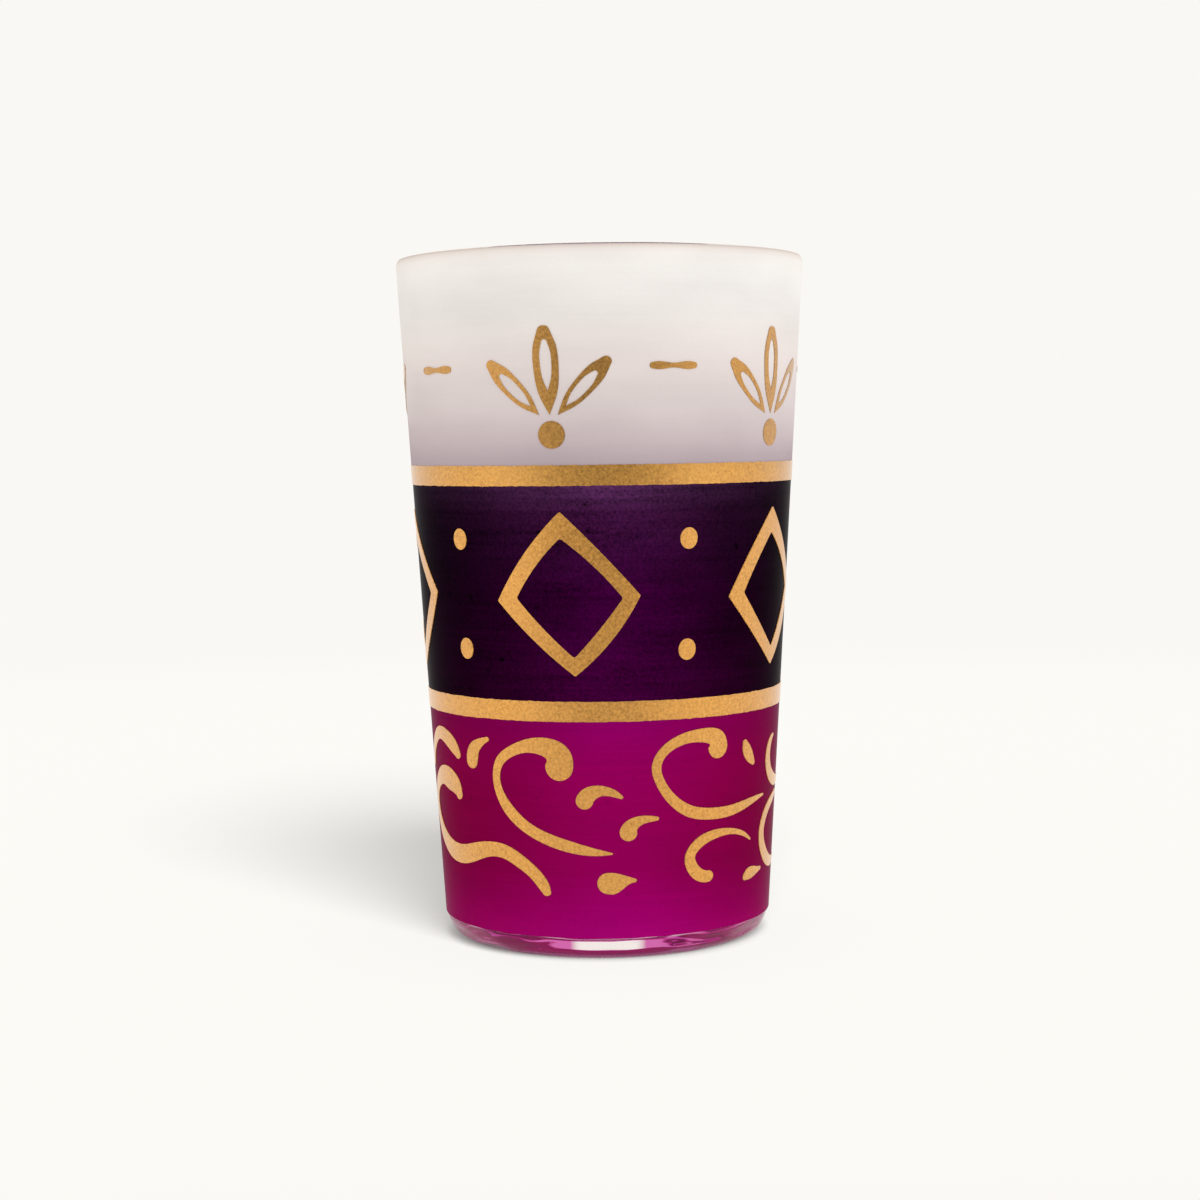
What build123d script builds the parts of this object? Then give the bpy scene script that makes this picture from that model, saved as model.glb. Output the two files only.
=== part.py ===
from build123d import *
import os
from math import cos, radians, sin

# Moroccan tea glass: a pressed conical tumbler with three colour coats fired on
# the outside and gold ornament fired on the coats. Millimetres, +Z up, origin at
# the middle of the resting plane. Angles run round the axis from the front (-Y),
# positive towards the right (+X).

# Zones up the wall, from the resting plane to the lip
foot_clear = 3.1
magenta_field = 27.75
band_height = 2.55
purple_field = 26.95
frost_field = 25.9
lip_clear = 1.2

# Pressed glass
foot_radius = 21.55
rim_radius = 26.95
rim_wall = 2.2
lip_round = 1.0
heel_round = 2.6
floor_radius = 18.9
floor_thickness = 6.0
floor_round = 4.0
punt_radius = 14.0
punt_depth = 1.2

# Fired layers
coat_thickness = 0.08
gold_thickness = 0.08

# One unit of the ornament lists below
print_unit = 1.0

# Sprigs of three open leaves over a dot, on the frosted zone. All the motifs are laid on
# by hand: the print falls short of a full turn, and its seam is the wide gap on the left.
sprig_angles = [-14.6, 56.4, 126.0, 195.6, 265.2]
sprig_dot_radius = 1.7
sprig_dot_rise = 3.75
sprig_dot_shift = 0.3
leaf_rise = 6.2
middle_leaf_length = 10.95
middle_leaf_width = 3.25
middle_leaf_opening_base = 2.95
middle_leaf_opening_length = 6.3
middle_leaf_opening_width = 1.52
middle_leaf_shift = 0.15
middle_leaf_lean = 2.9
side_leaf_length = 9.5
side_leaf_width = 2.5
side_leaf_opening_base = 1.5
side_leaf_opening_length = 5.7
side_leaf_opening_width = 1.4
left_leaf_lean = 45.4
right_leaf_lean = 43.2
side_leaf_shift = 1.2
# Half a leaf from its pointed base to its round tip, as shares of half its width and of its length
leaf_form = [(0.0, 0.0), (0.68, 0.22), (1.0, 0.56), (0.88, 0.79), (0.54, 0.93), (0.0, 1.0)]

# Dashes between the sprigs: across, up and width of the brush along each dash
dash_angles = [20.2, 94.5, 160.5, 229.5, 307.2]
dash_rise = 12.1
dash_stations = [(-2.75, 0.0, 0.8), (-1.7, 0.0, 0.97), (0.0, 0.0, 0.57), (1.7, 0.0, 0.97), (2.75, 0.0, 0.75)]

# Diamonds on the purple zone: corners from the middle of the zone, anticlockwise from the right
diamond_angles = [-10.5, 62.7, 134.3, 205.9, 277.5]
diamond_outside = [(8.9, -0.2), (-0.8, 10.3), (-9.3, -0.9), (0.7, -10.3)]
diamond_opening = [(6.8, -0.5), (-0.85, 7.0), (-6.7, -0.5), (0.65, -8.0)]
diamond_outside_bows = [0.25, 0.62, 0.32, 0.75]
diamond_opening_bows = [0.4, 0.4, 0.2, 0.2]
diamond_outside_round = 0.25
diamond_opening_round = 0.4

# Dots between the diamonds, over one another
dot_angles = [25.5, 97.5, 169.5, 241.5, 313.3]
dot_width = 2.4
dot_height = 2.7
dot_rises = (6.75, -7.2)

# Scrolls on the magenta zone, repeated round the glass. Each stroke is followed by its
# angle, its drop below the lower band and its width at every station.
scroll_repeats = 2
scroll_groups = {
    "big_scroll": [
        [(-14.7, 5.7, 3.6), (-15.9, 3.9, 3.1), (-22.5, 3.1, 2.0), (-29.9, 3.8, 1.4), (-35.5, 5.4, 1.25),
         (-37.1, 7.1, 1.1), (-36.3, 9.3, 1.2), (-33.1, 11.4, 1.5), (-27.5, 13.4, 1.5), (-20.8, 14.8, 1.5),
         (-13.2, 15.8, 1.5), (-5.4, 16.5, 1.1), (1.5, 16.8, 0.25)],
    ],
    "curl_scroll": [
        [(37.8, 3.9, 3.1), (36.6, 2.8, 2.5), (31.2, 2.3, 1.75), (24.5, 2.6, 1.4), (18.8, 3.8, 1.2),
         (15.9, 5.8, 1.1), (17.0, 7.8, 1.1), (20.5, 9.9, 1.25), (27.5, 11.9, 1.5), (35.0, 12.5, 1.5),
         (44.0, 12.5, 1.4), (54.0, 11.9, 1.0), (63.6, 11.4, 0.3)],
    ],
    "small_scroll": [
        [(35.3, 20.6, 1.45), (32.2, 20.4, 1.6), (28.8, 19.2, 1.55), (27.9, 17.8, 1.4), (30.3, 16.4, 1.4),
         (37.0, 15.3, 1.2), (44.3, 15.2, 0.8), (50.0, 15.7, 0.65), (55.4, 16.8, 0.3)],
    ],
    "wave_scroll": [
        [(-56.2, 10.4, 1.5), (-58.2, 9.4, 2.5), (-62.6, 8.7, 3.0), (-68.0, 8.5, 2.5), (-74.0, 9.6, 1.8),
         (-78.0, 11.4, 1.5), (-78.4, 13.4, 1.5), (-75.5, 15.4, 1.8), (-70.0, 17.1, 2.2), (-63.0, 18.2, 2.5),
         (-55.5, 18.3, 2.5), (-48.3, 17.6, 2.3), (-42.0, 17.0, 1.95), (-35.2, 17.1, 1.85), (-29.2, 18.2, 1.75),
         (-24.3, 19.6, 1.55), (-21.2, 21.1, 1.35), (-20.2, 21.9, 0.95)],
    ],
    "hook_scroll": [
        [(-55.4, 5.2, 1.2), (-58.0, 4.2, 2.0), (-63.0, 3.2, 2.0), (-68.5, 2.9, 1.7), (-74.0, 4.0, 1.5),
         (-78.0, 5.7, 1.3), (-79.5, 7.4, 0.8)],
    ],
    "side_arcs": [
        [(71.0, 3.9, 0.5), (67.8, 5.0, 1.2), (66.8, 6.8, 1.6), (68.8, 8.6, 1.7), (74.0, 9.9, 1.7), (80.0, 10.3, 1.2),
         (84.5, 10.0, 0.5)],
        [(79.0, 11.9, 0.7), (73.0, 12.7, 1.2), (67.2, 14.0, 1.4), (64.0, 16.4, 1.5), (66.0, 18.7, 1.7),
         (71.5, 20.5, 1.7), (78.0, 21.1, 1.2), (83.0, 20.7, 0.5)],
    ],
    "commas": [
        [(-6.9, 10.0, 2.2), (-4.9, 9.1, 1.9), (-1.3, 8.75, 1.3), (2.1, 9.05, 0.95), (4.7, 9.6, 0.45)],
        [(6.9, 14.1, 2.25), (7.9, 13.3, 1.8), (10.3, 12.7, 1.25), (13.4, 12.5, 0.85), (16.2, 12.5, 0.5)],
        [(-47.7, 5.7, 2.05), (-47.4, 5.1, 2.15), (-46.2, 4.1, 1.85), (-43.6, 3.3, 1.2), (-40.2, 2.7, 0.6)],
    ],
    "drops": [
        [(0.2, 20.6, 2.7), (3.4, 20.5, 2.4), (6.4, 20.3, 1.2), (8.9, 20.3, 0.5)],
        [(50.4, 4.0, 0.9), (51.6, 5.0, 1.7), (53.6, 6.0, 1.5), (55.3, 6.7, 0.8)],
        [(53.5, 21.7, 1.0), (56.0, 21.4, 1.6), (59.8, 21.3, 1.2), (64.0, 21.2, 0.5)],
    ],
}

# Heights that follow from the zones
lower_band_bottom = foot_clear + magenta_field
lower_band_top = lower_band_bottom + band_height
upper_band_bottom = lower_band_top + purple_field
upper_band_top = upper_band_bottom + band_height
coat_top = upper_band_top + frost_field
glass_height = coat_top + lip_clear
lower_band_middle = (lower_band_bottom + lower_band_top) / 2
upper_band_middle = (upper_band_bottom + upper_band_top) / 2
purple_middle = (lower_band_top + upper_band_bottom) / 2
wall_slope = (rim_radius - foot_radius) / glass_height
cutter_reach = rim_radius + 2 * (coat_thickness + gold_thickness)


def wall_radius(height):
    """Outer radius of the bare glass wall at a height."""
    return foot_radius + wall_slope * height


def layer_section(bottom, top, inside, thickness):
    """Corners of a thin layer on the wall, lying on another layer of thickness inside."""
    low = wall_radius(bottom) + inside
    high = wall_radius(top) + inside
    return [(low, bottom), (low + thickness, bottom), (high + thickness, top), (high, top)]


def wall_plane(angle):
    """Plane through the axis that faces outwards at an angle, with its Y upwards."""
    turn = radians(angle)
    return Plane(origin=(0, 0, 0), x_dir=(cos(turn), sin(turn), 0), z_dir=(sin(turn), -cos(turn), 0))


def drawn(places):
    """Places of an ornament list in millimetres."""
    return [tuple(print_unit * value for value in place) for place in places]


def brush_stroke(stations):
    """Round-ended stroke along stations of (across, up, width)."""
    middle = Spline(*[(across, up) for across, up, width in stations], mode=Mode.PRIVATE)
    left, right, ahead = [], [], []
    for across, up, width in stations:
        point = Vector(across, up)
        forward = middle.tangent_at(point)
        side = Vector(-forward.Y, forward.X) * (width / 2)
        left.append(point + side)
        right.append(point - side)
        ahead.append(forward)
    first_tip = Vector(*stations[0][:2]) - ahead[0] * (stations[0][2] / 2)
    last_tip = Vector(*stations[-1][:2]) + ahead[-1] * (stations[-1][2] / 2)
    with BuildSketch() as stroke:
        with BuildLine():
            Spline(*left)
            ThreePointArc(left[-1], last_tip, right[-1])
            Spline(*reversed(right))
            ThreePointArc(right[0], first_tip, left[0])
        make_face()
    return stroke.sketch


def stroke_centre(stations):
    """Angle halfway along a stroke of (angle, drop, width) stations."""
    angles = [angle for angle, drop, width in stations]
    return (min(angles) + max(angles)) / 2


def scroll_stroke(stations):
    """Stroke of (angle, drop, width) stations, flattened on the plane at its centre."""
    centre = stroke_centre(stations)
    flat = []
    for angle, drop, width in stations:
        height = lower_band_bottom - print_unit * drop
        across = (wall_radius(height) + coat_thickness) * sin(radians(angle - centre))
        flat.append((across, height, print_unit * width))
    return brush_stroke(flat)


def leaf_outline(base, length, width):
    """Half outline of a leaf along Y, from its base upwards, and its slant at the base."""
    points = [Vector(share * width / 2, base + rise * length) for share, rise in leaf_form]
    return points, points[1] - points[0]


def open_leaf(length, width, opening_base, opening_length, opening_width):
    """Leaf along Y with a window of the same form."""
    outside, outside_slant = leaf_outline(0, length, width)
    opening, opening_slant = leaf_outline(opening_base, opening_length, opening_width)
    with BuildSketch() as leaf:
        with BuildLine():
            Spline(*outside, tangents=[outside_slant, (-1, 0)])
            mirror(about=Plane.YZ)
        make_face()
        with BuildLine():
            Spline(*opening, tangents=[opening_slant, (-1, 0)])
            mirror(about=Plane.YZ)
        make_face(mode=Mode.SUBTRACT)
    return leaf.sketch


def bowed_diamond(corners, bows, corner_round):
    """Diamond with softened corners whose sides bow outwards."""
    with BuildSketch() as diamond:
        with BuildLine():
            for corner, following, bow in zip(corners, corners[1:] + corners[:1], bows):
                SagittaArc(corner, following, -print_unit * bow)
        make_face()
        fillet(diamond.vertices(), radius=corner_round)
    return diamond.sketch


os.makedirs("parts", exist_ok=True)

# Pressed glass body, with a hollowed underside and a fire-polished lip
with BuildPart() as glass_body:
    with BuildSketch(Plane.XZ):
        with BuildLine():
            punt = TangentArc((0, punt_depth), (punt_radius, 0), tangent=(1, 0))
            Polyline(
                punt @ 1,
                (foot_radius, 0),
                (rim_radius, glass_height),
                (rim_radius - rim_wall, glass_height),
                (floor_radius, floor_thickness),
                (0, floor_thickness),
                punt @ 0,
            )
        make_face()
    revolve(axis=Axis.Z)
    fillet(glass_body.edges().group_by(Axis.Z)[-1], radius=min(lip_round, 0.48 * rim_wall))
    foot_edges = glass_body.edges().filter_by(GeomType.CIRCLE).group_by(Axis.Z)[0]
    fillet(foot_edges.sort_by(SortBy.RADIUS)[-1], radius=heel_round)
    floor_edges = glass_body.edges().filter_by(GeomType.CIRCLE)
    fillet(floor_edges.filter_by_position(Axis.Z, floor_thickness, floor_thickness), radius=floor_round)
glass_body.part.label = "glass_body"
export_step(glass_body.part, "parts/glass_body.step")

# Colour coats on the glass: they meet under the gold bands
coats = {
    "frosted_coat": (upper_band_middle, coat_top),
    "purple_coat": (lower_band_middle, upper_band_middle),
    "magenta_coat": (foot_clear, lower_band_middle),
}
for name, (bottom, top) in coats.items():
    with BuildPart() as coat:
        with BuildSketch(Plane.XZ):
            with BuildLine():
                Polyline(*layer_section(bottom, top, 0, coat_thickness), close=True)
            make_face()
        revolve(axis=Axis.Z)
    coat.part.label = name
    export_step(coat.part, f"parts/{name}.step")

# Gold bands over the two joints
bands = {
    "lower_gold_band": (lower_band_bottom, lower_band_top),
    "upper_gold_band": (upper_band_bottom, upper_band_top),
}
for name, (bottom, top) in bands.items():
    with BuildPart() as band:
        with BuildSketch(Plane.XZ):
            with BuildLine():
                Polyline(*layer_section(bottom, top, coat_thickness, gold_thickness), close=True)
            make_face()
        revolve(axis=Axis.Z)
    band.part.label = name
    export_step(band.part, f"parts/{name}.step")

# Gold layer over all the coats, from which the ornament is cut
with BuildPart() as gold_layer:
    with BuildSketch(Plane.XZ):
        with BuildLine():
            Polyline(*layer_section(foot_clear, coat_top, coat_thickness, gold_thickness), close=True)
        make_face()
    revolve(axis=Axis.Z)

# Flat shapes of the repeated motifs
middle_leaf = open_leaf(
    middle_leaf_length,
    middle_leaf_width,
    middle_leaf_opening_base,
    middle_leaf_opening_length,
    middle_leaf_opening_width,
)
side_leaf = open_leaf(
    side_leaf_length,
    side_leaf_width,
    side_leaf_opening_base,
    side_leaf_opening_length,
    side_leaf_opening_width,
)
leaf_height = upper_band_top + leaf_rise
with BuildSketch() as sprig_shape:
    with Locations((sprig_dot_shift, upper_band_top + sprig_dot_rise)):
        Circle(sprig_dot_radius)
    with Locations(Location((middle_leaf_shift, leaf_height, 0), (0, 0, middle_leaf_lean))):
        add(middle_leaf)
    with Locations(
        Location((-side_leaf_shift, leaf_height, 0), (0, 0, left_leaf_lean)),
        Location((side_leaf_shift, leaf_height, 0), (0, 0, -right_leaf_lean)),
    ):
        add(side_leaf)

dash = brush_stroke(drawn(dash_stations))
with BuildSketch() as dash_shape:
    with Locations((0, upper_band_top + dash_rise)):
        add(dash)

diamond = bowed_diamond(drawn(diamond_outside), diamond_outside_bows, diamond_outside_round)
diamond_window = bowed_diamond(drawn(diamond_opening), diamond_opening_bows, diamond_opening_round)
with BuildSketch() as diamond_shape:
    with Locations((0, purple_middle)):
        add(diamond)
        add(diamond_window, mode=Mode.SUBTRACT)

with BuildSketch() as dots_shape:
    with Locations(*[(0, purple_middle + rise) for rise in dot_rises]):
        Ellipse(dot_width / 2, dot_height / 2)

# Motifs round the frosted and the purple zones
motifs = {
    "gold_sprig": (sprig_shape.sketch, sprig_angles),
    "gold_dash": (dash_shape.sketch, dash_angles),
    "gold_diamond": (diamond_shape.sketch, diamond_angles),
    "gold_dots": (dots_shape.sketch, dot_angles),
}
for motif, (shape, angles) in motifs.items():
    for number, angle in enumerate(angles, start=1):
        with BuildPart() as ornament:
            with BuildSketch(wall_plane(angle)):
                add(shape)
            extrude(amount=cutter_reach)
            add(gold_layer.part, mode=Mode.INTERSECT)
        name = f"{motif}_{number}"
        ornament.part.label = name
        export_step(ornament.part, f"parts/{name}.step")

# Scrolls round the magenta zone
for group, strokes in scroll_groups.items():
    shapes = [(scroll_stroke(stations), stroke_centre(stations)) for stations in strokes]
    for number in range(1, scroll_repeats + 1):
        turn = 360 * (number - 1) / scroll_repeats
        with BuildPart() as scroll:
            for shape, centre in shapes:
                with BuildSketch(wall_plane(centre + turn)):
                    add(shape)
                extrude(amount=cutter_reach)
            add(gold_layer.part, mode=Mode.INTERSECT)
        name = f"gold_{group}_{number}"
        scroll.part.label = name
        export_step(scroll.part, f"parts/{name}.step")
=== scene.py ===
import math

import bpy
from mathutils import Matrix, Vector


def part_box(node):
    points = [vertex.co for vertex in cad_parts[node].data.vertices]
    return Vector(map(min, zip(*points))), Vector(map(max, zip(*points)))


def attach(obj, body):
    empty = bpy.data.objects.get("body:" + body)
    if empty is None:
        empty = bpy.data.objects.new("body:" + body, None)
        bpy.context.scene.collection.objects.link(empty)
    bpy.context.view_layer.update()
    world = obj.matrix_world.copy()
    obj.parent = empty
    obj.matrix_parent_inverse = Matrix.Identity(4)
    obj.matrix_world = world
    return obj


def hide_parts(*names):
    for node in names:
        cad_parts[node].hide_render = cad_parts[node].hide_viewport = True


# tea glass: pressed clear glass, three fired colour coats and a gold print over them
# metres, +Z up, the front of the glass looks along -Y

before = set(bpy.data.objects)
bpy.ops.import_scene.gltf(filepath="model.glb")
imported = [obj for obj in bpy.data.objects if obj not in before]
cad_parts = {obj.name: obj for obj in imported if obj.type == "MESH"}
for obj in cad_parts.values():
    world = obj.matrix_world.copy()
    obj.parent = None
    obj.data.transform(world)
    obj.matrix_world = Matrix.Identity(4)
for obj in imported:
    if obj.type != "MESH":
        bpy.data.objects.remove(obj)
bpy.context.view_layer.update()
print("frame loaded:", len(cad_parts), "nodes")

scene = bpy.context.scene
scene.view_settings.view_transform = "Standard"
mm = 0.001


def srgb(red, green, blue):  # a colour as seen, 0 to 255, in the linear values that nodes take
    seen = [value / 255 for value in (red, green, blue)]
    linear = [v / 12.92 if v <= 0.04045 else ((v + 0.055) / 1.055) ** 2.4 for v in seen]
    return (*linear, 1.0)


# the wall, read from the frame

frostLow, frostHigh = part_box("frosted_coat")
purpleLow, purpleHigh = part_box("purple_coat")
magentaLow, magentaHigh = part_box("magenta_coat")
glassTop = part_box("glass_body")[1].z
coatSlope = (frostHigh.x - magentaHigh.x) / (frostHigh.z - magentaHigh.z)
coatLean = math.hypot(1, coatSlope)
coatTilt = math.degrees(math.atan(coatSlope))
coatThickness = 0.08 * mm


def coatRadius(height):  # outside of the colour coats
    return frostHigh.x + coatSlope * (height - frostHigh.z)


def glassRadius(height):  # outside of the glass, under the coats
    return coatRadius(height) - coatThickness


# node helpers


def setInputs(made, **inputs):  # an underscore stands for the space in a socket's name
    for name, value in inputs.items():
        made.inputs[name.replace("_", " ")].default_value = value


def node(tree, kind, **inputs):
    made = tree.nodes.new("ShaderNode" + kind)
    setInputs(made, **inputs)
    return made


def link(tree, source, target):
    tree.links.new(source, target)


def feed(tree, socket, value):  # a constant is set, an output is linked
    if isinstance(value, (int, float, tuple)):
        socket.default_value = value
    else:
        link(tree, value, socket)


def multiply(tree, first, second, addend=0.0):  # first * second + addend
    made = node(tree, "Math")
    made.operation = "MULTIPLY_ADD"
    for socket, value in zip(made.inputs, (first, second, addend)):
        feed(tree, socket, value)
    return made.outputs[0]


def vectorMath(tree, operation, first, second=None):
    made = node(tree, "VectorMath")
    made.operation = operation
    feed(tree, made.inputs[0], first)
    if second is not None:
        feed(tree, made.inputs[1], second)
    return made.outputs["Value" if operation in ("LENGTH", "DOT_PRODUCT") else "Vector"]


def mixColour(tree, factor, first, second, blend="MIX"):
    made = node(tree, "Mix")
    made.data_type = "RGBA"
    made.blend_type = blend
    for index, value in ((0, factor), (6, first), (7, second)):  # the sockets for colours
        feed(tree, made.inputs[index], value)
    return made.outputs[2]


def mixShader(tree, factor, first, second):
    made = node(tree, "MixShader")
    for socket, source in zip(made.inputs, (factor, first, second)):
        link(tree, source, socket)
    return made.outputs[0]


def mapRange(tree, value, low, high, toLow=0.0, toHigh=1.0, smooth=False):
    made = node(tree, "MapRange", From_Min=low, From_Max=high, To_Min=toLow, To_Max=toHigh)
    made.interpolation_type = "SMOOTHSTEP" if smooth else "LINEAR"
    link(tree, value, made.inputs["Value"])
    return made.outputs[0]


def colourSteps(tree, factor, steps):  # steps of (place, colour)
    made = node(tree, "ValToRGB")
    made.color_ramp.interpolation = "LINEAR"
    elements = made.color_ramp.elements
    while len(elements) < len(steps):
        elements.new(0.5)
    for element, (place, colour) in zip(elements, steps):
        element.position = place
        element.color = colour
    link(tree, factor, made.inputs[0])
    return made.outputs[0]


def objectPlace(tree):
    return node(tree, "TexCoord").outputs["Object"]


def split(tree, vector):  # X, Y and Z by themselves
    made = node(tree, "SeparateXYZ")
    link(tree, vector, made.inputs[0])
    return made.outputs


def noise(tree, place, scale, detail, roughness=0.5):  # scale: one number, or three for X, Y and Z
    if isinstance(scale, tuple):
        stretch = node(tree, "Mapping", Scale=scale)
        link(tree, place, stretch.inputs["Vector"])
        place, scale = stretch.outputs[0], 1.0
    made = node(tree, "TexNoise", Scale=scale, Detail=detail, Roughness=roughness)
    link(tree, place, made.inputs["Vector"])
    return made.outputs["Fac"]


def addBump(tree, shader, height, strength, distance, normal=None):
    bump = node(tree, "Bump", Distance=distance)
    feed(tree, bump.inputs["Strength"], strength)
    link(tree, height, bump.inputs["Height"])
    if normal is not None:
        link(tree, normal, bump.inputs["Normal"])
    link(tree, bump.outputs[0], shader.inputs["Normal"])


def newMaterial(name):
    made = bpy.data.materials.new(name)
    made.use_nodes = True
    return made, made.node_tree, made.node_tree.nodes["Principled BSDF"]


def toSurface(tree, shader):
    link(tree, shader, tree.nodes["Material Output"].inputs["Surface"])


# grain of a fired layer: fine dust, level streaks, sparse specks and soft clouds

grainLook = {
    "dust": 3000,  # about a third of a millimetre
    "streak": (45, 45, 1500),  # long round the glass, fine up it
    "fineSwing": 0.25,
    "cloud": (70, 70, 150),
    "cloudSwing": 0.2,
    "speck": 420, "speckFrom": 0.07, "speckTo": 0.2,
    "sparse": 150, "sparseFrom": 0.52, "sparseTo": 0.62,  # specks lie in some places only
}
grainInputs = {"Dust": 0.5, "Streaks": 0.5, "Specks": 0.5, "Clouds": 0.0}
grainGroup = bpy.data.node_groups.new("firedGrain", "ShaderNodeTree")


def addSocket(name, way):
    return grainGroup.interface.new_socket(name=name, in_out=way, socket_type="NodeSocketFloat")


for socketName, start in grainInputs.items():
    addSocket(socketName, "INPUT").default_value = start
for socketName in ("Shade", "Height"):
    addSocket(socketName, "OUTPUT")


def swing(tree, value, half):  # -1 to 1 about the middle of a noise
    return mapRange(tree, value, 0.5 - half, 0.5 + half, -1.0, 1.0)


def buildGrain(tree):
    look = grainLook
    ask = tree.nodes.new("NodeGroupInput").outputs
    give = tree.nodes.new("NodeGroupOutput").inputs
    place = objectPlace(tree)
    dust = noise(tree, place, look["dust"], detail=2.0, roughness=0.7)
    streak = noise(tree, place, look["streak"], detail=3.0, roughness=0.6)
    cloud = noise(tree, place, look["cloud"], detail=2.0)
    sparse = noise(tree, place, look["sparse"], detail=1.0)
    speck = node(tree, "TexVoronoi", Scale=look["speck"], Randomness=1.0)
    link(tree, place, speck.inputs["Vector"])
    distance = speck.outputs["Distance"]
    spot = mapRange(tree, distance, look["speckFrom"], look["speckTo"], 1.0, 0.0, smooth=True)
    patch = mapRange(tree, sparse, look["sparseFrom"], look["sparseTo"], smooth=True)
    speckOff = multiply(tree, multiply(tree, spot, patch), ask["Specks"])
    dustOff = multiply(tree, swing(tree, dust, look["fineSwing"]), ask["Dust"])
    streakOff = multiply(tree, swing(tree, streak, look["fineSwing"]), ask["Streaks"])
    cloudOff = multiply(tree, swing(tree, cloud, look["cloudSwing"]), ask["Clouds"], 1.0)
    total = multiply(tree, dustOff, 1.0, streakOff)
    total = multiply(tree, speckOff, -1.0, total)
    link(tree, multiply(tree, total, 1.0, cloudOff), give["Shade"])
    link(tree, total, give["Height"])


buildGrain(grainGroup)


def grain(tree, amounts):  # amounts of dust, streaks, specks and clouds
    made = node(tree, "Group")
    made.node_tree = grainGroup
    for name, amount in zip(grainInputs, amounts):
        made.inputs[name].default_value = amount
    return made.outputs["Shade"], made.outputs["Height"]


print("grain group ready")


# clear glass, its foot coloured like the coat above it: painted light of the magenta coat seen
# through the glass, with painted shade and a painted highlight

clearLook = {
    "tint": srgb(250, 249, 248), "ior": 1.5, "roughness": 0.015,
    # foot: pink painted light of the coat above, seen through the clear glass
    "foot": srgb(184, 42, 130), "footTop": 3.6 * mm, "footFade": 0.8 * mm,
    "footRoughness": 0.05, "paintedPinkGleam": srgb(225, 120, 180),
    # painted shade: darker patches at the sides of the foot and a dark line along its lower edge
    "paintedShade": srgb(140, 5, 92), "patch": (190, 190, 420), "patchFrom": 0.44, "patchTo": 0.56,
    "plainTo": 6 * mm, "wavyFrom": 9 * mm, "lineTop": 1.15 * mm, "lineFade": 0.3 * mm,
    # painted highlight: a pale place in the middle of the front and the back of the foot
    "paintedHighlight": srgb(250, 240, 240), "highlightTo": 3.3 * mm, "highlightEnd": 4.9 * mm,
    "highlightLow": 1.45 * mm, "highlightHigh": 2.75 * mm, "highlightFade": 0.2 * mm,
    # level ripples left by the mould: on the wall, more in the foot and at its sides
    "ripple": (110, 110, 500), "wave": 0.04, "footWave": 0.1, "sideWave": 0.5,
    "waveHeight": 1.0 * mm,
}


def fadeBelow(tree, height, top, fade):  # 0 at the top, 1 a little below it
    return mapRange(tree, height, top, top - fade, smooth=True)


def makeClear():
    material, tree, shader = newMaterial("clearPressedGlass")
    look = clearLook
    place = objectPlace(tree)
    apart = split(tree, place)
    across = multiply(tree, apart["X"], apart["X"])  # squared, so that left and right are alike
    below = fadeBelow(tree, apart["Z"], look["footTop"], look["footFade"])
    sides = mapRange(tree, across, look["plainTo"] ** 2, look["wavyFrom"] ** 2, smooth=True)

    # painted shade in patches at the sides of the foot and along its lower edge
    cloud = noise(tree, place, look["patch"], detail=1.0)
    patch = mapRange(tree, cloud, look["patchFrom"], look["patchTo"], smooth=True)
    line = fadeBelow(tree, apart["Z"], look["lineTop"], look["lineFade"])
    paintedShade = multiply(tree, multiply(tree, patch, sides), 1.0, line)
    foot = mixColour(tree, paintedShade, look["foot"], look["paintedShade"])
    # painted highlight: the foot's glass left almost clear in the middle of its front and back
    paintedHighlight = mapRange(tree, across, look["highlightTo"] ** 2, look["highlightEnd"] ** 2, 1, 0, smooth=True)
    for end, beyond in ((look["highlightLow"], -look["highlightFade"]), (look["highlightHigh"], look["highlightFade"])):
        paintedHighlight = multiply(tree, paintedHighlight, mapRange(tree, apart["Z"], end + beyond, end, smooth=True))
    foot = mixColour(tree, paintedHighlight, foot, look["paintedHighlight"])
    link(tree, mixColour(tree, below, look["tint"], foot), shader.inputs["Base Color"])
    # the foot's reflections tinted pink as well, painted light of the coat
    paintedPinkGleam = mixColour(tree, below, look["tint"], look["paintedPinkGleam"])
    link(tree, paintedPinkGleam, shader.inputs["Specular Tint"])

    setInputs(shader, Transmission_Weight=1.0, IOR=look["ior"])
    rough = mapRange(tree, below, 0, 1, look["roughness"], look["footRoughness"])
    link(tree, rough, shader.inputs["Roughness"])
    wave = noise(tree, place, look["ripple"], detail=1.0)
    strength = multiply(tree, sides, look["sideWave"], look["footWave"])
    strength = multiply(tree, strength, below, look["wave"])
    addBump(tree, shader, wave, strength, look["waveHeight"])

    ray = node(tree, "LightPath").outputs  # light reaches the coats through the glass
    either = node(tree, "Math")
    either.operation = "MAXIMUM"
    link(tree, ray["Is Shadow Ray"], either.inputs[0])
    link(tree, ray["Is Diffuse Ray"], either.inputs[1])
    through = node(tree, "BsdfTransparent").outputs[0]
    toSurface(tree, mixShader(tree, either.outputs[0], shader.outputs[0], through))
    return material


# colour coats: colours by height, and a lighter one for the side that lies on the glass, painted
# light that comes through the coat

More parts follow.
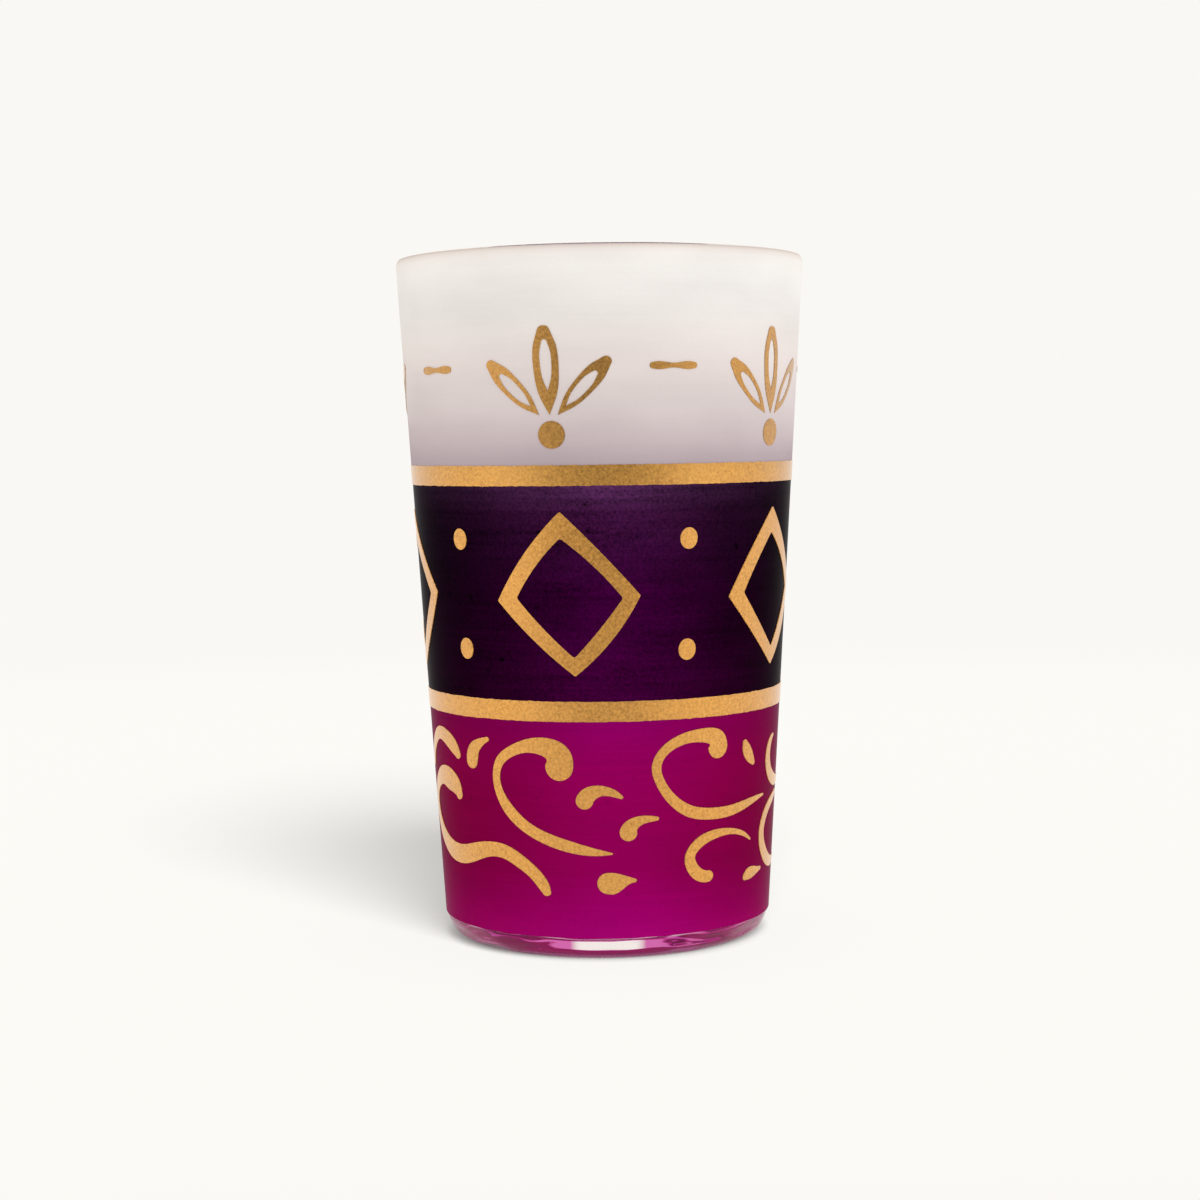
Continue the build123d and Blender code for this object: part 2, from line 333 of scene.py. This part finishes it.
coatLook = {
    "behindFrom": -1 * mm, "behindTo": -2 * mm, "throughShare": 0.85,
    "roughGrain": 0.08, "bump": 0.12, "bumpHeight": 0.05 * mm,
    "filmIor": 1.03, "filmRoughness": 0.3,
}
frostLook = {
    # greyer and pinker down towards the purple band: painted shade of the dark zone behind the
    # frost, with some of the purple's own tinge; the last steps darken the crown of the lip,
    # painted shade
    "steps": [
        (0.0, srgb(178, 160, 169)), (0.084, srgb(190, 175, 181)), (0.153, srgb(205, 190, 194)),
        (0.297, srgb(224, 213, 214)), (0.508, srgb(237, 227, 225)), (0.718, srgb(244, 240, 238)),
        (0.905, srgb(252, 249, 247)), (0.955, srgb(251, 246, 243)), (0.974, srgb(246, 238, 234)),
        (0.984, srgb(237, 226, 220)), (0.993, srgb(214, 200, 194)),
    ],
    "inside": srgb(255, 249, 245), "roughness": 0.62, "specular": 0.0,
    "grain": (0.015, 0.012, 0.0, 0.04),
}
purpleLook = {
    # darkest in the middle; the top steps, lighter and greyer, are painted light from the frosted
    # part above
    "steps": [
        (0.13, srgb(42, 0, 35)), (0.33, srgb(37, 0, 32)), (0.5, srgb(34, 0, 30)),
        (0.67, srgb(36, 4, 34)), (0.84, srgb(42, 11, 40)), (0.91, srgb(50, 22, 50)),
        (0.96, srgb(58, 29, 58)),
    ],
    "inside": srgb(92, 10, 92), "roughness": 0.55, "specular": 0.0, "film": srgb(206, 204, 206),
    "grain": (0.55, 0.3, 0.7, 0.3),
}
magentaLook = {
    "steps": [
        (0.0, srgb(157, 4, 93)), (0.1, srgb(149, 0, 84)), (0.3, srgb(133, 0, 65)),
        (0.55, srgb(134, 0, 64)), (0.75, srgb(136, 0, 68)), (1.0, srgb(129, 0, 76)),
    ],
    "inside": srgb(180, 14, 128), "roughness": 0.5, "specular": 0.0, "film": srgb(246, 245, 246),
    "grain": (0.06, 0.06, 0.15, 0.06),
}


def lightThrough(tree, shader, behind, colour):  # the side on the glass takes light from outside
    glow = node(tree, "BsdfTranslucent", Color=colour)
    share = multiply(tree, behind, coatLook["throughShare"])
    backlit = mixShader(tree, share, shader.outputs[0], glow.outputs[0])
    clear = node(tree, "BsdfTransparent").outputs[0]
    back = node(tree, "NewGeometry").outputs["Backfacing"]
    toSurface(tree, mixShader(tree, back, backlit, clear))


def makeCoat(name, look, low, high):
    material, tree, shader = newMaterial(name)
    place = objectPlace(tree)
    rise = mapRange(tree, split(tree, place)["Z"], low, high)
    shade, height = grain(tree, look["grain"])
    tone = mixColour(tree, 1.0, colourSteps(tree, rise, look["steps"]), shade, "MULTIPLY")
    outward = node(tree, "NewGeometry").outputs["True Normal"]
    facing = vectorMath(tree, "DOT_PRODUCT", place, outward)  # below 0 on the side on the glass
    behind = mapRange(tree, facing, coatLook["behindFrom"], coatLook["behindTo"])
    # the side on the glass takes the lighter inside colour: painted light that comes through the
    # coat
    link(tree, mixColour(tree, behind, tone, look["inside"]), shader.inputs["Base Color"])
    lightThrough(tree, shader, behind, look["inside"])
    rough = multiply(tree, height, coatLook["roughGrain"], look["roughness"])
    link(tree, rough, shader.inputs["Roughness"])
    setInputs(shader, Specular_IOR_Level=look["specular"])
    if "film" in look:
        setInputs(shader, Coat_Weight=1.0, Coat_Tint=look["film"])
        setInputs(shader, Coat_IOR=coatLook["filmIor"], Coat_Roughness=coatLook["filmRoughness"])
    addBump(tree, shader, height, coatLook["bump"], coatLook["bumpHeight"])
    return material


# fired gold, thinner and duller where it lies on the frost

goldLook = {
    "bright": srgb(244, 179, 84), "brightAt": 1.4, "dark": srgb(182, 121, 45), "darkAt": 0.4,
    "roughness": 0.4, "roughGrain": 0.25, "varnish": 0.85, "varnishRoughness": 0.2,
    "grain": (0.5, 0.0, 0.2, 0.0), "bump": 0.25, "bumpHeight": 0.03 * mm,
    "thinFrom": 58 * mm, "thinTo": 66 * mm,
    "thin": [
        (0.0, (1.0, 1.0, 1.0, 1.0)), (0.5, (0.91, 0.94, 0.91, 1.0)), (1.0, (0.74, 0.77, 0.83, 1.0)),
    ],
}


def coneNormal(tree, place):  # the cone's own normal, smooth over flat facets
    level = vectorMath(tree, "MULTIPLY", place, (1.0, 1.0, 0.0))
    outward = vectorMath(tree, "NORMALIZE", level)
    leaning = vectorMath(tree, "ADD", outward, (0.0, 0.0, -coatSlope))
    return vectorMath(tree, "NORMALIZE", leaning)


def makeGold():
    material, tree, shader = newMaterial("goldPrint")
    look = goldLook
    place = objectPlace(tree)
    shade, height = grain(tree, look["grain"])
    bright = mapRange(tree, shade, look["darkAt"], look["brightAt"])
    tone = mixColour(tree, bright, look["dark"], look["bright"])
    rise = mapRange(tree, split(tree, place)["Z"], look["thinFrom"], look["thinTo"])
    tone = mixColour(tree, 1.0, tone, colourSteps(tree, rise, look["thin"]), "MULTIPLY")
    link(tree, tone, shader.inputs["Base Color"])
    rough = multiply(tree, height, look["roughGrain"], look["roughness"])
    link(tree, rough, shader.inputs["Roughness"])
    setInputs(shader, Metallic=1.0)
    setInputs(shader, Coat_Weight=look["varnish"], Coat_Roughness=look["varnishRoughness"])
    addBump(tree, shader, height, look["bump"], look["bumpHeight"], coneNormal(tree, place))
    return material


clearGlass = makeClear()
frostFinish = makeCoat("frostedWhite", frostLook, frostLow.z, glassTop)
purpleFinish = makeCoat("purpleEnamel", purpleLook, purpleLow.z, purpleHigh.z)
magentaFinish = makeCoat("magentaEnamel", magentaLook, magentaLow.z, magentaHigh.z)
goldFinish = makeGold()
print("finishes ready")


# turned pieces: a profile of (radius, height) drawn point by point and spun round the axis

turning = {"start": 1 * mm, "merge": 0.001 * mm, "smoothAngle": 35}


def arc(centreRadius, centreHeight, radius, fromAngle, toAngle, parts):
    points = []
    for part in range(parts + 1):
        angle = math.radians(fromAngle + (toAngle - fromAngle) * part / parts)
        out, up = radius * math.cos(angle), radius * math.sin(angle)
        points.append((centreRadius + out, centreHeight + up))
    return points


def turnProfile(name, profile, steps):
    bpy.ops.object.select_all(action="DESELECT")
    first = (profile[0][0], 0, profile[0][1])
    bpy.ops.mesh.primitive_plane_add(size=turning["start"], location=first)
    piece = bpy.context.object
    piece.name = name
    piece.data.name = name
    bpy.ops.object.mode_set(mode="EDIT")
    bpy.ops.mesh.select_all(action="SELECT")
    bpy.ops.mesh.merge(type="CENTER")
    for here, there in zip(profile, profile[1:]):
        step = (there[0] - here[0], 0, there[1] - here[1])
        bpy.ops.mesh.extrude_vertices_move(TRANSFORM_OT_translate={"value": step})
    bpy.ops.mesh.select_all(action="SELECT")
    bpy.ops.mesh.spin(steps=steps, angle=2 * math.pi, center=(0, 0, 0), axis=(0, 0, 1))
    bpy.ops.mesh.select_all(action="SELECT")
    bpy.ops.mesh.remove_doubles(threshold=turning["merge"])
    bpy.ops.mesh.normals_make_consistent(inside=False)
    bpy.ops.object.mode_set(mode="OBJECT")
    bpy.ops.object.transform_apply(location=True, rotation=True, scale=True)
    bpy.ops.object.shade_smooth_by_angle(angle=math.radians(turning["smoothAngle"]))
    return piece


def dress(piece, finish, slot, *nodes):
    piece.data.materials.clear()
    piece.data.materials.append(finish)
    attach(piece, "root")
    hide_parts(*nodes)


# glass body

body = {
    "rimWall": 2.2 * mm,
    "lipRound": 1.0 * mm,
    "heelRound": 2.6 * mm,
    "bevelTop": 3.3 * mm,
    "bevelTilt": 22.6,
    "bevelRound": 2.5 * mm,
    "floorRadius": 18.9 * mm,
    "floorThickness": 6.0 * mm,
    "floorRound": 4.0 * mm,
    "puntRadius": 14.0 * mm,
    "puntDepth": 1.2 * mm,
    # steps round the axis, and parts of each arc
    "steps": 192, "puntParts": 14, "heelParts": 8, "lipParts": 10, "floorParts": 12,
}


def footProfile():  # round heel, soft bevel, then round into the wall
    heel, bend, lift = body["heelRound"], body["bevelRound"], body["bevelTilt"]
    fall = math.radians(lift)
    wallTilt = math.radians(coatTilt)
    bendRadius = glassRadius(body["bevelTop"]) - bend * math.cos(wallTilt)
    bendHeight = body["bevelTop"] + bend * math.sin(wallTilt)
    rise = bendHeight - bend * math.sin(fall) - heel * (1 - math.sin(fall))
    length = rise / math.cos(fall)
    bevelEnd = bendRadius + bend * math.cos(fall) - length * math.sin(fall)
    heelRadius = bevelEnd - heel * math.cos(fall)
    lower = arc(heelRadius, heel, heel, -90, -lift, body["heelParts"])
    upper = arc(bendRadius, bendHeight, bend, -lift, -coatTilt, body["heelParts"])
    return lower + upper


def bodyProfile():
    base, corner, lip = body["floorThickness"], body["floorRound"], body["lipRound"]
    punt, depth = body["puntRadius"], body["puntDepth"]
    rimInside = glassRadius(glassTop) - body["rimWall"]
    inSlope = (rimInside - body["floorRadius"]) / (glassTop - base)
    inLean = math.hypot(1, inSlope)
    inTilt = math.degrees(math.atan(inSlope))
    dome = (punt ** 2 + depth ** 2) / (2 * depth)
    domeAngle = math.degrees(math.asin(punt / dome))

    def inside(height):
        return rimInside + inSlope * (height - glassTop)

    shoulder = glassTop - lip
    outerLip = glassRadius(shoulder) - lip * coatLean
    innerLip = inside(shoulder) + lip * inLean
    cornerRadius = inside(base + corner) - corner * inLean
    points = arc(0, depth - dome, dome, 90, 90 - domeAngle, body["puntParts"])
    points += footProfile()
    points += arc(outerLip, shoulder, lip, -coatTilt, 90, body["lipParts"])
    points += arc(innerLip, shoulder, lip, 90, 180 - inTilt, body["lipParts"])
    points += arc(cornerRadius, base + corner, corner, -inTilt, -90, body["floorParts"])
    points.append((0, base))
    return points


glassBody = turnProfile("pressedGlass", bodyProfile(), body["steps"])
dress(glassBody, clearGlass, "clear_glass", "glass_body")
print("glass body turned")


# colour coats, sunk a little into the glass so that the two are in contact

coats = {"sunk": 0.03 * mm, "edge": 0.03 * mm, "lipAngle": 48, "lipParts": 12, "steps": 256}
coatInside = -coatThickness - coats["sunk"]


def skinProfile(low, high, outside, inside, edge):  # a thin ring with softened outer edges
    def outer(height):
        return coatRadius(height) + outside

    def inner(height):
        return coatRadius(height) + inside

    return [
        (inner(low), low), (outer(low) - edge, low), (outer(low + edge), low + edge),
        (outer(high - edge), high - edge), (outer(high) - edge, high), (inner(high), high),
        (inner(low), low),
    ]


def frostProfile():  # the frost runs on over the outer part of the lip
    low, lip, lipEnd, parts = frostLow.z, body["lipRound"], coats["lipAngle"], coats["lipParts"]
    shoulder = glassTop - lip
    middle = glassRadius(shoulder) - lip * coatLean
    points = skinProfile(low, shoulder, 0, coatInside, coats["edge"])[:3]
    points += arc(middle, shoulder, lip + coatThickness, -coatTilt, lipEnd, parts)
    points += arc(middle, shoulder, lip - coats["sunk"], lipEnd, -coatTilt, parts)
    points.append((coatRadius(low) + coatInside, low))
    return points


def makeSkin(name, low, high):
    return turnProfile(name, skinProfile(low, high, 0, coatInside, coats["edge"]), coats["steps"])


frostedCoat = turnProfile("frostedCoat", frostProfile(), coats["steps"])
dress(frostedCoat, frostFinish, "frosted_white", "frosted_coat")
purpleCoat = makeSkin("purpleCoat", purpleLow.z, purpleHigh.z)
dress(purpleCoat, purpleFinish, "purple_enamel", "purple_coat")
magentaCoat = makeSkin("magentaCoat", magentaLow.z, magentaHigh.z)
dress(magentaCoat, magentaFinish, "magenta_enamel", "magenta_coat")
print("coats turned")


# gold bands, with the slightly uneven edge of a hand-laid line

bands = {
    "thickness": 0.08 * mm, "sunk": 0.02 * mm, "edge": 0.03 * mm, "steps": 720,
    "uneven": 0.16 * mm, "rippleSize": 0.7 * mm,
}


def makeBand(name, cadNode):
    low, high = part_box(cadNode)
    section = skinProfile(low.z, high.z, bands["thickness"], -bands["sunk"], bands["edge"])
    piece = turnProfile(name, section, bands["steps"])
    ends = piece.vertex_groups.new(name="ends")
    lower, upper = low.z + 2 * bands["edge"], high.z - 2 * bands["edge"]
    rows = [v.index for v in piece.data.vertices if v.co.z < lower or v.co.z > upper]
    ends.add(rows, 1.0, "REPLACE")
    ripple = bpy.data.textures.new(name + "Ripple", "CLOUDS")
    ripple.noise_scale = bands["rippleSize"]
    shift = piece.modifiers.new("unevenEdge", "DISPLACE")
    shift.texture = ripple
    shift.texture_coords = "LOCAL"
    shift.direction = "Z"
    shift.mid_level = 0.5
    shift.strength = bands["uneven"]
    shift.vertex_group = ends.name
    bpy.context.view_layer.objects.active = piece
    bpy.ops.object.modifier_apply(modifier=shift.name)
    dress(piece, goldFinish, "gold_print", cadNode)


makeBand("lowerGoldBand", "lower_gold_band")
makeBand("upperGoldBand", "upper_gold_band")
print("gold bands turned")


# gold ornament keeps its shape from the frame and gets the gold finish

for name, ornament in sorted(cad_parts.items()):
    if name.startswith("gold_"):
        ornament.data.materials.clear()
        ornament.data.materials.append(goldFinish)
print("ornament dressed")


# floor, light and camera

stage = {
    "paper": srgb(250, 248, 244), "albedo": (0.0884, 0.0886, 0.0854, 1.0), "glow": 0.482,
    "size": 3.0, "front": 0.14,
    # into plain paper far away and at the front edge
    "fadeFrom": 0.25, "fadeTo": 0.45, "edgeFrom": 0.08, "edgeTo": 0.13,
    # painted contact shadow, darker close under the glass
    "contactShadowGlow": 0.04, "contactShadowFrom": 17.5 * mm, "contactShadowTo": 22.3 * mm,
    # lamp for the soft shadow
    "shadowPower": 21.6, "shadowSpread": 32.0, "shadowTilt": 45.0, "shadowTurn": 16.0,
}


def floorPaper():
    material, tree, shader = newMaterial("palePaper")
    paper = stage["paper"]
    setInputs(shader, Base_Color=stage["albedo"], Roughness=1.0, Specular_IOR_Level=0.0)
    setInputs(shader, Emission_Color=paper)
    place = objectPlace(tree)
    far = vectorMath(tree, "LENGTH", place)
    # painted contact shadow: the floor glows less close under the glass
    glow = (stage["contactShadowGlow"], stage["glow"])
    under = mapRange(tree, far, stage["contactShadowFrom"], stage["contactShadowTo"], *glow, smooth=True)
    link(tree, under, shader.inputs["Emission Strength"])
    fade = mapRange(tree, far, stage["fadeFrom"], stage["fadeTo"], smooth=True)
    along = split(tree, place)["Y"]
    edge = mapRange(tree, along, -stage["edgeFrom"], -stage["edgeTo"], smooth=True)
    fade = multiply(tree, edge, 1.0, fade)
    plain = node(tree, "Emission", Color=paper, Strength=1.0)
    toSurface(tree, mixShader(tree, fade, shader.outputs[0], plain.outputs[0]))
    material.cycles.emission_sampling = "NONE"
    return material


def makeFloor():
    bpy.ops.object.select_all(action="DESELECT")
    middle = (0, stage["size"] - stage["front"], 0)  # its front edge lies just below the picture
    bpy.ops.mesh.primitive_plane_add(size=2 * stage["size"], location=middle)
    floor = bpy.context.object
    floor.name = "paleFloor"
    bpy.ops.object.transform_apply(location=True, rotation=True, scale=True)
    floor.data.materials.append(floorPaper())
    return floor


def lightOnly(lamp, piece, name):
    lit = bpy.data.collections.new(name)
    lit.objects.link(piece)
    lamp.light_linking.receiver_collection = lit


def makeShadowLamp(floor):  # a soft lamp from the front right that draws the shadow on the floor
    turn = (math.radians(stage["shadowTilt"]), 0, math.radians(stage["shadowTurn"]))
    bpy.ops.object.light_add(type="SUN", rotation=turn)
    lamp = bpy.context.object
    lamp.name = "shadowLamp"
    lamp.data.energy = stage["shadowPower"]
    lamp.data.angle = math.radians(stage["shadowSpread"])
    lightOnly(lamp, floor, "onlyFloor")


glows = {  # narrow lamps close in front, each for one coat
    "purpleGlow": {
        "colour": (0.97, 0.85, 1.0), "power": 0.0182, "place": (1.0 * mm, -43 * mm, 47 * mm),
        "width": 5 * mm, "height": 56 * mm,
    },
    "magentaGlow": {
        "colour": (0.36, 0.3, 1.0), "power": 0.0078, "place": (3.0 * mm, -48 * mm, 20 * mm),
        "width": 5 * mm, "height": 36 * mm,
    },
}


def makeGlow(name, coat):
    glow = glows[name]
    upright = (math.radians(90), 0, 0)
    bpy.ops.object.light_add(type="AREA", location=glow["place"], rotation=upright)
    lamp = bpy.context.object
    lamp.name = name
    lamp.data.shape = "RECTANGLE"
    lamp.data.size = glow["width"]
    lamp.data.size_y = glow["height"]
    lamp.data.color = glow["colour"]
    lamp.data.energy = glow["power"]
    lamp.visible_camera = False
    lamp.visible_glossy = False
    lamp.visible_transmission = False
    lightOnly(lamp, coat, name + "Lit")


room = {
    # light on the object, a little weaker and warmer from the left
    "left": (0.79, 0.765, 0.73, 1.0), "right": (1.03, 1.02, 1.0, 1.0), "leftToRight": 0.9,
    # what gold and glass mirror
    "sides": (1.25, 1.22, 1.18, 1.0),
    "front": (0.42, 0.42, 0.42, 1.0), "frontFrom": -0.55, "frontTo": -0.98,
    "back": (0.95, 0.94, 0.92, 1.0), "backFrom": 0.35, "backTo": 0.8,
}


def makeRoom():
    world = bpy.data.worlds.new("studio")
    world.use_nodes = True
    world.cycles.sampling_method = "NONE"
    tree = world.node_tree
    tree.nodes.clear()
    ray = node(tree, "LightPath").outputs
    apart = split(tree, node(tree, "TexCoord").outputs["Generated"])
    front = mapRange(tree, apart["Y"], room["frontFrom"], room["frontTo"], smooth=True)
    back = mapRange(tree, apart["Y"], room["backFrom"], room["backTo"], smooth=True)
    mirrored = mixColour(tree, front, room["sides"], room["front"])
    mirrored = mixColour(tree, back, mirrored, room["back"])
    turn = mapRange(tree, apart["X"], -room["leftToRight"], room["leftToRight"])
    ambient = mixColour(tree, turn, room["left"], room["right"])
    colour = mixColour(tree, ray["Is Glossy Ray"], ambient, mirrored)
    for backdrop in ("Is Transmission Ray", "Is Camera Ray"):
        colour = mixColour(tree, ray[backdrop], colour, stage["paper"])
    sky = node(tree, "Background")
    link(tree, colour, sky.inputs["Color"])
    out = node(tree, "OutputWorld")
    link(tree, sky.outputs[0], out.inputs["Surface"])
    scene.world = world


view = {
    "place": (-0.47 * mm, -308.755 * mm, 66.33 * mm), "tilt": 85.946, "roll": -0.766,
    "lens": 69.06, "sensor": 36, "near": 0.01,
}


def makeCamera():
    bpy.ops.object.camera_add(location=view["place"])
    camera = bpy.context.object
    camera.name = "photoCamera"
    camera.rotation_mode = "ZYX"  # rolls about the line of sight first, then tilts
    camera.rotation_euler = (math.radians(view["tilt"]), 0, math.radians(view["roll"]))
    camera.data.sensor_width = view["sensor"]
    camera.data.lens = view["lens"]
    camera.data.clip_start = view["near"]
    scene.camera = camera


makeShadowLamp(makeFloor())
makeGlow("purpleGlow", purpleCoat)
makeGlow("magentaGlow", magentaCoat)
makeRoom()
makeCamera()
print("stage ready")
